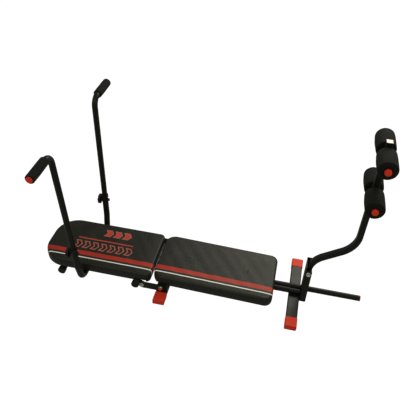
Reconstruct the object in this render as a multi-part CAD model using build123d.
from build123d import *
from math import atan2, cos, pi, radians, sin, tan
import os

# Folding sit-up bench, millimetres. +X points to the leg rollers, +Y to the right-hand side, +Z up.
# The origin is on the floor, halfway between the head end and the tail end of the guide rail.

os.makedirs("parts", exist_ok=True)

# ---- overall layout ----
head_end_x = -730.0
end_foot_x = 437.0
middle_foot_x = -150.0
tail_length = 290.0          # guide rail beyond the end foot's centre
slip = 0.10                  # radial gap of a telescoping or turning fit
free = 0.3                   # gap between bodies that pass each other
eps = 1.0                    # cutters run past a face by this much

# ---- feet ----
foot_w = 50.0
foot_h = 25.0
foot_wall = 2.0
foot_corner_r = 4.0
foot_half_length = 206.5     # end foot, over its caps
cap_wall = 1.5
cap_length = 50.0
cap_end_wall = 3.0
cap_edge_r = 1.2

# ---- main tubes ----
main_od = 25.4               # the two long tubes under the seat
tube_wall = 1.5
slider_od = main_od - 2 * (tube_wall + slip)   # telescopes inside the left-hand one
tube_gap = 1.6               # between the two long tubes
tube_offset_y = (main_od + tube_gap) / 2
outer_end_gap = 22.0         # outer tube stops this far before the end foot's centre
slider_insert = 208.0        # slider tube inside the outer tube
rail_cap_t = 3.0
cap_over = 0.3               # an end cap stands out from its tube by this much
rail_cap_r = main_od / 2 + cap_over
spigot_length = 12.0

# ---- pads ----
pad_w = 280.0
pad_t = 48.0
skirt = 11.0                 # pad edge hangs this far below its board
board_t = 10.0
board_inset = 14.0
pad_edge_r = 11.0
pad_bottom_r = 5.0
back_top_z = 101.0
back_end_x = -208.0
head_r = 105.0
back_corner_r = 22.0
seat_start_x = -195.0
seat_end_x = 342.0
seat_corner_r = 34.0
seat_hinge_corner_r = 50.0
seat_rise = 52.1             # seat top over the long tubes, at the middle foot
seat_fall_deg = 1.7
tube_notch_gap = 5.8         # beside the long tubes
tube_notch_half = tube_offset_y + main_od / 2 + tube_notch_gap
tube_notch_length = 42.0
front_plate_x = 302.0
front_plate_half_x = 20.0
front_plate_half_y = 60.0
saddle_depth = 1.0           # the plate is hollowed this deep over each long tube

# ---- hinge ----
pivot_x = -242.0
pivot_z = 45.0
bolt_d = 10.0
plate_t = 5.0
plate_top_z = 62.0
plate_end_x = -123.0
plate_end_r = 17.0
plate_bolt_x = -155.0
crossbar_w = 40.0
ear_gap = 0.5                # pad to ear and ear to hinge plate
plate_inner_y = pad_w / 2 + ear_gap + plate_t + ear_gap
plate_to_cap = 7.0           # hinge plate to the middle foot's cap
middle_half_length = plate_inner_y + plate_t + plate_to_cap + cap_length
ear_r = 16.0
hex_t = 6.5
hex_r = 9.0
washer_r = 10.5
washer_t = 1.5

# ---- back frame ----
head_foot_x = -635.0
hinge_foot_x = -280.0
cross_od = 32.0
cross_wall = 1.8
plug_r = 18.0
plug_length = 20.0
plug_spigot = 16.0
cross_inset = 1.0            # the tubes across the back end this far inside the pad's edge
cross_half = pad_w / 2 - cross_inset
back_rail_w = 25.0
back_rail_h = 30.0
back_rail_corner_r = 3.0
back_rail_y = 60.0
back_rail_start_x = -660.0
yoke_bore_gap = 0.4

# ---- handle yoke and handles ----
yoke_x = -519.5              # at floor level
yoke_z = 33.0
yoke_out = 24.0              # corner of the yoke beyond the pad's edge
yoke_splay = 21.0            # corner to knee
yoke_corner_y = pad_w / 2 + yoke_out
yoke_knee_y = yoke_corner_y + yoke_splay
yoke_knee_z = 125.0
socket_top_z = 240.0
handle_lean_x = -0.0316
handle_lean_y = 0.0543
yoke_bend_r = 42.0
knee_bend_r = 90.0
collar_h = 12.0
handle_od = 25.4
socket_wall = 1.5
yoke_od = handle_od + 2 * (slip + socket_wall)
collar_wall = 2.2
collar_r = yoke_od / 2 + collar_wall
bore_extra = 38.0            # the socket is bored this far below the lowest setting
handle_bottom_z = 190.0
handle_top_z = 738.7
handle_bend_r = 42.0
grip_out = 196.0             # knee of the yoke to the end of a grip
grip_end_y = yoke_knee_y + grip_out
grip_length = 120.0
grip_wall = 5.6
grip_r = handle_od / 2 + grip_wall
grip_edge_r = 4.0
grip_cap_r = handle_od / 2 + cap_over
grip_cap_t = 3.0
grip_spigot = 16.0
hole_pitch = 25.0
hole_r = 4.2
hole_count = 5
knob_z = 213.0
knob_r = 24.0
knob_t = 11.0
knob_hub_r = 10.0
knob_hub_t = 2.0
knob_lobes = 8
knob_lobe_r = 5.0
knob_lobe_out = 2.25         # centre of a lobe cut beyond the knob rim
screw_r = 4.0
guide_screw_r = 5.6
guide_screw_t = 4.5
boss_r = 7.5
boss_t = 3.0
bracket_len = 30.0
bracket_t = 4.0
bracket_y = 104.0
bracket_half_x = 28.0
saddle_half_x = 21.5
yoke_hex_r = 7.2
drop_travel = 50.0
rise_travel = 25.0

# ---- leg holder ----
post_gap_x = 1.0             # post to foot tube
post_wall = 2.0
post_side_gap = 6.8          # long tube to the outside of the post
post_d = 2 * (tube_offset_y + main_od / 2 + post_side_gap)
post_bottom_z = 0.5
post_top_z = 218.0
post_cut_above_bolt = 13.0   # left-hand wall stops this far above the bolt
post_cut_r = 14.0
post_corner_r = 3.0
bush_t = 1.2
bush_flange_t = 3.0
bush_flange_over = 3.6
bush_flange_r = main_od / 2 + bush_flange_over
bar_w = 24.6
bar_slack = 0.4              # bar between the walls of the post
post_w = bar_w + bar_slack + 2 * post_wall
bar_wall = 1.5
bar_corner_r = 3.5
bar_bottom_z = 130.0
bar_knee_z = 234.0
bar_elbow_z = 352.3
bar_reach = 167.5
bar_top_z = 866.0
bar_knee_r = 105.0
bar_elbow_r = 125.0
post_bolt_z = 179.0
post_bolt_head_r = 10.5
label_t = 0.4
label_inset = 1.2
end_plug_t = 3.0
end_plug_spigot = 12.0

# ---- rollers ----
roller_r = 36.5
roller_inner_y = 15.5
roller_outer_y = 118.5
rod_r = 8.0
rod_in_cap = 5.5             # a rod ends this far inside its cap
upper_roller_z = 820.0
lower_roller_z = 643.0
sleeve_wall = 3.0
sleeve_proud_in = 1.5
sleeve_proud_out = 0.75
roller_cap_r = 12.7
roller_cap_t = 11.0
foam_edge_r = 8.0
slide_travel = 150.0

# ---- derived values ----
foot_bottom = cap_wall
foot_top = foot_bottom + foot_h
main_z = foot_top + main_od / 2
seat_top_z = foot_top + main_od + seat_rise      # over the middle foot
tail_x = end_foot_x + tail_length
post_x0 = end_foot_x + foot_w / 2 + post_gap_x
post_cx = post_x0 + post_w / 2
upper_bar_x = post_cx + bar_reach
cross_z = plug_r
back_rail_z = cross_z + cross_od / 2 + back_rail_h / 2
back_bar_x = hinge_foot_x + back_rail_w / 2
sides = (-1, 1)


def save(shape, node):
    export_step(shape, "parts/" + node + ".step")
    return shape


def group(solids):
    return Compound(children=list(solids))


def along(p0, p1):
    a = Vector(*p0)
    b = Vector(*p1)
    return Plane(origin=a, z_dir=b - a), (b - a).length


def rod(p0, p1, r):
    plane, length = along(p0, p1)
    return extrude(plane * Circle(r), amount=length)


def pipe(p0, p1, r, wall):
    plane, length = along(p0, p1)
    return extrude(plane * (Circle(r) - Circle(r - wall)), amount=length)


def tube_y(cx, cz, half, w, h, wall, corner):
    plane = Plane(origin=(cx, -half, cz), x_dir=(1, 0, 0), z_dir=(0, 1, 0))
    ring = RectangleRounded(w, h, corner) - RectangleRounded(w - 2 * wall, h - 2 * wall, corner - wall / 2)
    return extrude(plane * ring, amount=2 * half)


def tube_x(x0, x1, cy, cz, w, h, wall, corner):
    plane = Plane(origin=(x0, cy, cz), x_dir=(0, 1, 0), z_dir=(1, 0, 0))
    ring = RectangleRounded(w, h, corner) - RectangleRounded(w - 2 * wall, h - 2 * wall, corner - wall / 2)
    return extrude(plane * ring, amount=x1 - x0)


def block(x0, x1, y0, y1, z0, z1):
    return Pos((x0 + x1) / 2, (y0 + y1) / 2, (z0 + z1) / 2) * Box(x1 - x0, y1 - y0, z1 - z0)


def hexagon(p0, p1, r):
    plane, length = along(p0, p1)
    return extrude(plane * RegularPolygon(r, 6), amount=length)


def foot_cap(cx, half, side):
    w = foot_w + 2 * cap_wall
    h = foot_h + 2 * cap_wall
    y_in = half - cap_length
    plane = Plane(origin=(cx, side * y_in, h / 2), x_dir=(1, 0, 0), z_dir=(0, side, 0))
    body = extrude(plane * RectangleRounded(w, h, foot_corner_r + cap_wall), amount=cap_length)
    outer = body.faces().sort_by(Axis.Y)[-1 if side > 0 else 0]
    body = fillet(outer.edges(), cap_edge_r)
    pocket = RectangleRounded(foot_w, foot_h, foot_corner_r)
    return body - extrude(plane * pocket, amount=cap_length - cap_end_wall)


def foot(cx, half):
    length = half - cap_end_wall
    return tube_y(cx, foot_bottom + foot_h / 2, length, foot_w, foot_h, foot_wall, foot_corner_r)


def main_outer_tube():
    p0 = (middle_foot_x + crossbar_w / 2, -tube_offset_y, main_z)
    p1 = (end_foot_x - outer_end_gap, -tube_offset_y, main_z)
    return rod(p0, p1, main_od / 2) - rod(p0, p1, slider_od / 2 + slip)


def guide_rail():
    x0 = middle_foot_x + crossbar_w / 2
    return pipe((x0, tube_offset_y, main_z), (tail_x, tube_offset_y, main_z), main_od / 2, tube_wall)


def rail_cap():
    disc = rod((tail_x, tube_offset_y, main_z), (tail_x + rail_cap_t, tube_offset_y, main_z), rail_cap_r)
    disc = fillet(disc.edges().sort_by(Axis.X)[-1], cap_edge_r)
    spigot = rod((tail_x - spigot_length, tube_offset_y, main_z), (tail_x, tube_offset_y, main_z),
                 main_od / 2 - tube_wall)
    return disc + spigot


def seat_plane_z(x):
    return seat_top_z - tan(radians(seat_fall_deg)) * (x - middle_foot_x)


def pad_solid(x0, x1, r_left, r_right, top_z):
    length = x1 - x0
    outline = Pos((x0 + x1) / 2, 0) * Rectangle(length, pad_w)
    left = outline.vertices().group_by(Axis.X)[0]
    outline = fillet(left, r_left)
    right = outline.vertices().group_by(Axis.X)[-1]
    outline = fillet(right, r_right)
    body = extrude(Pos(0, 0, top_z - pad_t) * outline, amount=pad_t)
    body = fillet(body.edges().group_by(Axis.Z)[-1], pad_edge_r)
    body = fillet(body.edges().group_by(Axis.Z)[0], pad_bottom_r)
    return body


def board_outline(x0, x1, r_left, r_right, grow):
    inset = board_inset - grow
    outline = Pos((x0 + x1) / 2, 0) * Rectangle(x1 - x0 - 2 * inset, pad_w - 2 * inset)
    left = outline.vertices().group_by(Axis.X)[0]
    outline = fillet(left, r_left - inset)
    right = outline.vertices().group_by(Axis.X)[-1]
    return fillet(right, r_right - inset)


def board_solid(x0, x1, r_left, r_right, top_z):
    z0 = top_z - pad_t + skirt
    return extrude(Pos(0, 0, z0) * board_outline(x0, x1, r_left, r_right, 0), amount=board_t)


def pad_pocket(x0, x1, r_left, r_right, top_z):
    z0 = top_z - pad_t
    face = board_outline(x0, x1, r_left, r_right, 0)
    return extrude(Pos(0, 0, z0 - eps) * face, amount=skirt + board_t + eps)


def tilt(shape):
    axis = Axis((middle_foot_x, 0, seat_top_z), (0, 1, 0))
    return shape.rotate(axis, seat_fall_deg)


def seat_pad():
    args = (seat_start_x, seat_end_x, seat_hinge_corner_r, seat_corner_r, seat_top_z)
    pad = pad_solid(*args) - pad_pocket(*args)
    notch = block(seat_end_x - tube_notch_length, seat_end_x + eps, -tube_notch_half, tube_notch_half,
                  seat_top_z - pad_t - eps, seat_top_z - pad_t + skirt)
    reach = crossbar_w / 2 + 3 * eps
    hinge_notch = skirt_notch(middle_foot_x - reach, middle_foot_x + reach, pad_w / 2, seat_top_z)
    return tilt(pad - notch - hinge_notch)


def seat_board():
    args = (seat_start_x, seat_end_x, seat_hinge_corner_r, seat_corner_r, seat_top_z)
    return tilt(board_solid(*args))


def skirt_notch(x0, x1, half_y, top_z):
    z0 = top_z - pad_t
    return block(x0 - free, x1 + free, -half_y - eps, half_y + eps, z0 - eps, z0 + skirt + eps)


def back_pad():
    args = (head_end_x, back_end_x, head_r, back_corner_r, back_top_z)
    pad = pad_solid(*args) - pad_pocket(*args)
    notch = skirt_notch(back_bar_x - back_rail_w / 2, pivot_x + ear_r + eps, pad_w / 2, back_top_z)
    return pad - notch


def back_board():
    return board_solid(head_end_x, back_end_x, head_r, back_corner_r, back_top_z)


def seat_crossbar():
    top = seat_plane_z(middle_foot_x + crossbar_w / 2) - pad_t + skirt
    h = top - foot_top
    return tube_y(middle_foot_x, foot_top + h / 2, plate_inner_y, crossbar_w, h, foot_wall, foot_corner_r)


def seat_front_plate():
    x0 = front_plate_x - front_plate_half_x
    x1 = front_plate_x + front_plate_half_x
    top = seat_plane_z(x1) - pad_t + skirt - slip
    base = main_z + main_od / 2 - saddle_depth
    plate = block(x0, x1, -front_plate_half_y, front_plate_half_y, base, top)
    for side in sides:
        y = side * tube_offset_y
        plate = plate - rod((x0 - eps, y, main_z), (x1 + eps, y, main_z), main_od / 2)
    return plate


def hinge_plate(side):
    y0 = side * plate_inner_y
    plane = Plane(origin=(0, y0, 0), x_dir=(1, 0, 0), z_dir=(0, side, 0))
    z_sign = -side
    mid = (foot_top + plate_top_z) / 2
    h = plate_top_z - foot_top
    x_len = plate_end_x - pivot_x
    sketch = Pos(pivot_x + x_len / 2, z_sign * mid) * Rectangle(x_len, h)
    sketch = sketch + Pos(pivot_x, z_sign * pivot_z) * Circle(plate_end_r)
    for x in (pivot_x, plate_bolt_x):
        sketch = sketch - Pos(x, z_sign * pivot_z) * Circle(bolt_d / 2 + slip)
    return extrude(plane * sketch, amount=plate_t)


def ear(side):
    y0 = side * (plate_inner_y - ear_gap)
    plane = Plane(origin=(0, y0, 0), x_dir=(1, 0, 0), z_dir=(0, -side, 0))
    z_sign = side
    x0 = back_bar_x - back_rail_w / 2
    z0 = back_rail_z - back_rail_h / 2
    top = back_rail_z + back_rail_h / 2
    sketch = Pos((x0 + pivot_x) / 2, z_sign * (z0 + top) / 2) * Rectangle(pivot_x - x0, back_rail_h)
    sketch = sketch + Pos(pivot_x, z_sign * pivot_z) * Circle(ear_r)
    sketch = sketch - Pos(pivot_x, z_sign * pivot_z) * Circle(bolt_d / 2 + slip)
    return extrude(plane * sketch, amount=plate_t)


def bolt(x, z, side, inner_y):
    out = side * (plate_inner_y + plate_t)
    shank = rod((x, side * inner_y, z), (x, out, z), bolt_d / 2)
    washer = rod((x, out, z), (x, out + side * washer_t, z), washer_r)
    head = hexagon((x, out + side * washer_t, z), (x, out + side * (washer_t + hex_t), z), hex_r)
    return shank + washer + head


def pivot_nut(side):
    y = plate_inner_y - ear_gap - plate_t - free
    nut = hexagon((pivot_x, side * y, pivot_z), (pivot_x, side * (y - hex_t), pivot_z), hex_r)
    y0 = side * (y + eps)
    y1 = side * (y - hex_t - eps)
    return nut - rod((pivot_x, y0, pivot_z), (pivot_x, y1, pivot_z), bolt_d / 2)


def back_crossbar():
    half = plate_inner_y - ear_gap - plate_t
    return tube_y(back_bar_x, back_rail_z, half, back_rail_w, back_rail_h, foot_wall, back_rail_corner_r)


def back_rail(side):
    bar = tube_x(back_rail_start_x, back_bar_x - back_rail_w / 2, side * back_rail_y, back_rail_z,
                 back_rail_w, back_rail_h, foot_wall, back_rail_corner_r)
    x = yoke_centre_x(yoke_z)
    hole = rod((x, side * back_rail_y - back_rail_w, yoke_z), (x, side * back_rail_y + back_rail_w, yoke_z),
               yoke_od / 2 + yoke_bore_gap)
    slot = block(x - yoke_od / 2 - yoke_bore_gap, x + yoke_od / 2 + yoke_bore_gap,
                 side * back_rail_y - back_rail_w, side * back_rail_y + back_rail_w, 0, yoke_z)
    return bar - hole - slot


def cross_foot(x):
    half = cross_half - cap_end_wall
    return pipe((x, -half, cross_z), (x, half, cross_z), cross_od / 2, cross_wall)


def foot_plug(x, side):
    y0 = side * (cross_half - plug_length)
    y1 = side * cross_half
    cup = rod((x, y0, cross_z), (x, y1, cross_z), plug_r)
    cup = fillet(cup.edges().sort_by(Axis.Y)[-1 if side > 0 else 0], 2 * cap_edge_r)
    tube = rod((x, y0 - side * eps, cross_z), (x, side * (cross_half - cap_end_wall), cross_z), cross_od / 2)
    flat = block(x - plug_r, x + plug_r, min(y0, y1) - eps, max(y0, y1) + eps, cross_z + cross_od / 2,
                 cross_z + plug_r + eps)
    return cup - tube - flat


def yoke_centre_x(z):
    return yoke_x + handle_lean_x * z


def socket_y(z):
    return yoke_knee_y + handle_lean_y * (z - yoke_knee_z)


def socket_point(side, z):
    return (yoke_centre_x(z), side * socket_y(z), z)


def yoke_path(side):
    pts = [
        (yoke_centre_x(yoke_z), 0, yoke_z),
        (yoke_centre_x(yoke_z), side * yoke_corner_y, yoke_z),
        (yoke_centre_x(yoke_knee_z), side * yoke_knee_y, yoke_knee_z),
        socket_point(side, socket_top_z),
    ]
    return FilletPolyline(*pts, radius=[yoke_bend_r, knee_bend_r])


def yoke_half(side, r):
    plane = Plane(origin=(yoke_centre_x(yoke_z), 0, yoke_z), x_dir=(1, 0, 0), z_dir=(0, side, 0))
    return sweep(plane * Circle(r), path=yoke_path(side))


def lock_axis(side):
    return socket_point(side, knob_z)


def cross_hole(side, z, r):
    x, y, zz = socket_point(side, z)
    return rod((x - handle_od, y, zz), (x + handle_od, y, zz), r)


def yoke():
    body = yoke_half(-1, yoke_od / 2) + yoke_half(1, yoke_od / 2)
    for side in sides:
        low = socket_point(side, knob_z - drop_travel - bore_extra)
        high = socket_point(side, socket_top_z + eps)
        body = body - rod(low, high, handle_od / 2 + slip)
        x, y, z = lock_axis(side)
        body = body - rod((x - yoke_od, y, z), (x, y, z), screw_r + slip)
    return body


def collar(side):
    lo = socket_point(side, socket_top_z - collar_h)
    hi = socket_point(side, socket_top_z + cap_wall)
    ring = rod(lo, hi, collar_r) - rod(lo, hi, yoke_od / 2)
    return ring


def boss(side, sign):
    x, y, z = lock_axis(side)
    far_x = x + sign * (yoke_od / 2 + boss_t)
    body = rod((x, y, z), (far_x, y, z), boss_r)
    low = socket_point(side, knob_z - 2 * boss_r)
    high = socket_point(side, knob_z + 2 * boss_r)
    body = body - rod(low, high, yoke_od / 2)
    if sign < 0:
        body = body - rod((x, y, z), (far_x - eps, y, z), screw_r + slip)
    return body


def guide_screw(side):
    x, y, z = lock_axis(side)
    base = x + yoke_od / 2 + boss_t
    return rod((base, y, z), (base + guide_screw_t, y, z), guide_screw_r)


def yoke_bracket(side):
    x = yoke_centre_x(yoke_z)
    z1 = back_top_z - pad_t + skirt
    y = side * bracket_y
    y0 = y - bracket_len / 2
    y1 = y + bracket_len / 2
    top = block(x - bracket_half_x, x + bracket_half_x, y0, y1, z1 - bracket_t, z1)
    saddle = block(x - saddle_half_x, x + saddle_half_x, y0, y1, yoke_z, z1 - bracket_t)
    hole = rod((x, y - bracket_len, yoke_z), (x, y + bracket_len, yoke_z), yoke_od / 2)
    slot = block(x - yoke_od / 2, x + yoke_od / 2, y - bracket_len, y + bracket_len, 0, yoke_z)
    return top + (saddle - hole - slot)


def yoke_bolt(side):
    x = yoke_centre_x(yoke_z) + saddle_half_x
    y = side * bracket_y
    z = yoke_z + bracket_len / 2
    return hexagon((x, y, z), (x + hex_t, y, z), yoke_hex_r)


def handle_pts(side):
    top = (yoke_centre_x(handle_top_z), side * socket_y(handle_top_z), handle_top_z)
    tip = (yoke_centre_x(handle_top_z), side * (grip_end_y - grip_cap_t), handle_top_z)
    return [socket_point(side, handle_bottom_z), top, tip]


def handle_tube(side):
    pts = handle_pts(side)
    path = FilletPolyline(*pts, radius=handle_bend_r)
    plane = Plane(origin=pts[0], z_dir=Vector(*pts[1]) - Vector(*pts[0]))
    body = sweep(plane * (Circle(handle_od / 2) - Circle(handle_od / 2 - tube_wall)), path=path)
    for i in range(hole_count):
        body = body - cross_hole(side, knob_z + i * hole_pitch, hole_r)
    return body


def grip(side):
    x, y, z = handle_pts(side)[2]
    y0 = side * (grip_end_y - grip_cap_t - grip_length)
    y1 = side * (grip_end_y - grip_cap_t)
    foam = rod((x, y0, z), (x, y1, z), grip_r)
    foam = fillet(foam.edges().group_by(Axis.Y)[0] + foam.edges().group_by(Axis.Y)[-1], grip_edge_r)
    return foam - rod((x, y0 - side * eps, z), (x, y1 + side * eps, z), handle_od / 2)


def grip_cap(side):
    x, y, z = handle_pts(side)[2]
    disc = rod((x, y, z), (x, side * grip_end_y, z), grip_cap_r)
    disc = fillet(disc.edges().sort_by(Axis.Y)[-1 if side > 0 else 0], cap_edge_r)
    inner = handle_od / 2 - tube_wall
    return disc + rod((x, y - side * grip_spigot, z), (x, y, z), inner)


def knob_head(side):
    x, y, z = lock_axis(side)
    hub_x = x - yoke_od / 2 - boss_t - free
    hub = rod((hub_x, y, z), (hub_x - knob_hub_t, y, z), knob_hub_r)
    disc = rod((hub_x - knob_hub_t, y, z), (hub_x - knob_hub_t - knob_t, y, z), knob_r)
    for i in range(knob_lobes):
        a = 2 * pi * i / knob_lobes
        rr = knob_r + knob_lobe_out
        c = (y + rr * cos(a), z + rr * sin(a))
        x_out = hub_x - knob_hub_t - knob_t - eps
        disc = disc - rod((hub_x + eps, c[0], c[1]), (x_out, c[0], c[1]), knob_lobe_r)
    edge = disc.edges().group_by(Axis.X)[0]
    disc = fillet(edge, cap_edge_r)
    return hub + disc - rod((hub_x + eps, y, z), (hub_x - knob_hub_t, y, z), screw_r)


def knob_screw(side):
    x, y, z = lock_axis(side)
    hub_x = x - yoke_od / 2 - boss_t - free
    tip = x - handle_od / 2 - slip - free
    return rod((hub_x - knob_hub_t, y, z), (tip, y, z), screw_r)


def post_exit_z():
    turn = pi / 2 - atan2(bar_elbow_z - bar_knee_z, bar_reach)
    return bar_knee_z - bar_knee_r * tan(turn / 2)


def post():
    plane = Plane(origin=(post_cx, 0, post_bottom_z), x_dir=(1, 0, 0), z_dir=(0, 0, 1))
    ring = RectangleRounded(post_w, post_d, post_corner_r)
    inner = RectangleRounded(post_w - 2 * post_wall, post_d - 2 * post_wall, post_corner_r - post_wall / 2)
    ring = ring - inner
    body = extrude(plane * ring, amount=post_top_z - post_bottom_z)
    x1 = post_x0 + post_w
    body = body - rod((post_x0 - eps, tube_offset_y, main_z), (x1 + eps, tube_offset_y, main_z),
                      main_od / 2 + slip + bush_t)
    x_in = post_x0 + post_wall + eps / 2
    body = body - rod((post_x0 - eps, -tube_offset_y, main_z), (x_in, -tube_offset_y, main_z), slider_od / 2)
    inner_y = post_d / 2 - post_wall
    top = post_top_z + eps
    body = body - block(x1 - post_wall - eps / 2, x1 + eps, -inner_y, inner_y, post_exit_z(), top)
    window = block(post_x0 + post_corner_r, x1 + post_cut_r, -post_d, -inner_y + eps,
                   post_bolt_z + post_cut_above_bolt, top + post_cut_r)
    window = fillet(window.edges().filter_by(Axis.Y), post_cut_r)
    body = body - window
    return body - rod((post_cx, -post_d, post_bolt_z), (post_cx, post_d, post_bolt_z), bolt_d / 2)


def slider_tube():
    x0 = end_foot_x - outer_end_gap - slider_insert
    x1 = post_x0 + post_wall
    return pipe((x0, -tube_offset_y, main_z), (x1, -tube_offset_y, main_z), slider_od / 2, tube_wall)


def rail_bush():
    x1 = post_x0 + post_w
    x2 = x1 + bush_flange_t
    y = tube_offset_y
    body = rod((post_x0, y, main_z), (x1, y, main_z), main_od / 2 + slip + bush_t)
    flange = rod((x1, y, main_z), (x2, y, main_z), bush_flange_r)
    flange = flange - block(x1 - eps, x2 + eps, -post_d, 0, 0, post_top_z)
    return body + flange - rod((post_x0 - eps, y, main_z), (x2 + eps, y, main_z), main_od / 2 + slip)


def bar_path():
    pts = [
        (post_cx, 0, bar_bottom_z),
        (post_cx, 0, bar_knee_z),
        (upper_bar_x, 0, bar_elbow_z),
        (upper_bar_x, 0, bar_top_z),
    ]
    return FilletPolyline(*pts, radius=[bar_knee_r, bar_elbow_r])


def leg_bar():
    plane = Plane(origin=(post_cx, 0, bar_bottom_z), x_dir=(1, 0, 0), z_dir=(0, 0, 1))
    inner = bar_w - 2 * bar_wall
    ring = RectangleRounded(bar_w, bar_w, bar_corner_r)
    ring = ring - RectangleRounded(inner, inner, bar_corner_r - bar_wall)
    body = sweep(plane * ring, path=bar_path())
    for z in (upper_roller_z, lower_roller_z):
        body = body - rod((upper_bar_x, -bar_w, z), (upper_bar_x, bar_w, z), rod_r)
    return body - rod((post_cx, -bar_w, post_bolt_z), (post_cx, bar_w, post_bolt_z), bolt_d / 2)


def spacer(side):
    y0 = bar_w / 2
    y1 = post_d / 2 - post_wall
    body = rod((post_cx, side * y0, post_bolt_z), (post_cx, side * y1, post_bolt_z), post_bolt_head_r)
    return body - rod((post_cx, 0, post_bolt_z), (post_cx, side * post_d, post_bolt_z), bolt_d / 2)


def post_bolt():
    out = post_d / 2
    tip = out + hex_t + 2 * washer_t
    shank = rod((post_cx, -out, post_bolt_z), (post_cx, tip, post_bolt_z), bolt_d / 2)
    washer = rod((post_cx, -out - washer_t, post_bolt_z), (post_cx, -out, post_bolt_z), post_bolt_head_r)
    seat = -out - washer_t
    head = hexagon((post_cx, seat - hex_t, post_bolt_z), (post_cx, seat, post_bolt_z), hex_r)
    return shank + washer + head


def post_nut():
    out = post_d / 2
    nut = hexagon((post_cx, out, post_bolt_z), (post_cx, out + hex_t, post_bolt_z), hex_r)
    return nut - rod((post_cx, 0, post_bolt_z), (post_cx, 2 * out, post_bolt_z), bolt_d / 2)


def bar_plug():
    place = Pos(upper_bar_x, 0, bar_top_z)
    top = extrude(place * RectangleRounded(bar_w, bar_w, bar_corner_r), amount=end_plug_t)
    inner = bar_w - 2 * bar_wall
    face = RectangleRounded(inner, inner, bar_corner_r - bar_wall)
    return top + extrude(place * face, amount=-end_plug_spigot)


def label():
    w = bar_w - 2 * label_inset
    place = Pos(upper_bar_x, 0, bar_top_z + end_plug_t)
    return extrude(place * RectangleRounded(w, w, label_inset), amount=label_t)


def roller_rod(z):
    y = roller_outer_y + rod_in_cap
    return rod((upper_bar_x, -y, z), (upper_bar_x, y, z), rod_r)


def roller_foam(side, z):
    y0 = side * roller_inner_y
    y1 = side * roller_outer_y
    foam = rod((upper_bar_x, y0, z), (upper_bar_x, y1, z), roller_r)
    foam = fillet(foam.edges().group_by(Axis.Y)[0] + foam.edges().group_by(Axis.Y)[-1], foam_edge_r)
    core = rod_r + slip + sleeve_wall
    return foam - rod((upper_bar_x, y0 - side * eps, z), (upper_bar_x, y1 + side * eps, z), core)


def roller_sleeve(side, z):
    y0 = side * (roller_inner_y - sleeve_proud_in)
    y1 = side * (roller_outer_y + sleeve_proud_out)
    core = rod_r + slip + sleeve_wall
    body = rod((upper_bar_x, y0, z), (upper_bar_x, y1, z), core)
    return body - rod((upper_bar_x, y0 - side * eps, z), (upper_bar_x, y1 + side * eps, z), rod_r + slip)


def roller_cap(side, z):
    y0 = side * (roller_outer_y + sleeve_proud_out + free)
    y1 = side * (roller_outer_y + roller_cap_t)
    body = rod((upper_bar_x, y0, z), (upper_bar_x, y1, z), roller_cap_r)
    body = fillet(body.edges().sort_by(Axis.Y)[-1 if side > 0 else 0], cap_end_wall)
    return body - rod((upper_bar_x, 0, z), (upper_bar_x, side * (roller_outer_y + rod_in_cap), z), rod_r)


def build():
    save(foot(end_foot_x, foot_half_length), "end_foot_tube")
    save(group(foot_cap(end_foot_x, foot_half_length, s) for s in sides), "end_foot_caps")
    save(foot(middle_foot_x, middle_half_length), "middle_foot_tube")
    save(group(foot_cap(middle_foot_x, middle_half_length, s) for s in sides), "middle_foot_caps")
    save(main_outer_tube(), "main_outer_tube")
    save(guide_rail(), "guide_rail_tube")
    save(rail_cap(), "rail_end_cap")
    save(seat_crossbar(), "seat_crossbar")
    save(seat_front_plate(), "seat_front_plate")
    save(seat_board(), "seat_board")
    save(seat_pad(), "seat_pad")
    save(group(hinge_plate(s) for s in sides), "hinge_plates")
    inner = plate_inner_y - ear_gap - plate_t - free - hex_t - washer_t
    save(group(bolt(pivot_x, pivot_z, s, inner) for s in sides), "pivot_bolts")
    save(group(pivot_nut(s) for s in sides), "pivot_nuts")
    save(group(bolt(plate_bolt_x, pivot_z, s, plate_inner_y) for s in sides), "hinge_plate_bolts")

    save(group(back_rail(s) for s in sides), "back_rails")
    save(back_crossbar(), "back_crossbar")
    save(group(ear(s) for s in sides), "hinge_ears")
    save(group(cross_foot(x) for x in (head_foot_x, hinge_foot_x)), "back_cross_feet")
    save(group(foot_plug(x, s) for x in (head_foot_x, hinge_foot_x) for s in sides), "back_foot_plugs")
    save(back_board(), "back_board")
    save(back_pad(), "back_pad")
    save(yoke(), "handle_yoke")
    save(group(collar(s) for s in sides), "socket_collars")
    save(group(boss(s, sign) for s in sides for sign in sides), "socket_bosses")
    save(group(guide_screw(s) for s in sides), "guide_screws")
    save(group(yoke_bracket(s) for s in sides), "yoke_brackets")
    save(group(yoke_bolt(s) for s in sides), "yoke_bolts")

    for side, name in ((-1, "left"), (1, "right")):
        save(handle_tube(side), "handle_tube_" + name)
        save(grip(side), "grip_" + name)
        save(grip_cap(side), "grip_cap_" + name)
        save(knob_head(side), "knob_" + name)
        save(knob_screw(side), "knob_screw_" + name)

    save(post(), "leg_post")
    save(slider_tube(), "slider_tube")
    save(rail_bush(), "rail_bush")
    save(leg_bar(), "leg_bar")
    save(bar_plug(), "leg_bar_plug")
    save(label(), "blank_label")
    save(post_bolt(), "post_bolt")
    save(post_nut(), "post_nut")
    save(group(spacer(s) for s in sides), "post_spacers")
    save(group(roller_rod(z) for z in (upper_roller_z, lower_roller_z)), "roller_rods")
    levels = (upper_roller_z, lower_roller_z)
    save(group(roller_cap(s, z) for z in levels for s in sides), "roller_end_caps")
    for z, level in ((upper_roller_z, "upper"), (lower_roller_z, "lower")):
        for side, name in ((-1, "left"), (1, "right")):
            save(roller_foam(side, z), "foam_" + level + "_" + name)
            save(roller_sleeve(side, z), "sleeve_" + level + "_" + name)


if __name__ == "__main__":
    build()
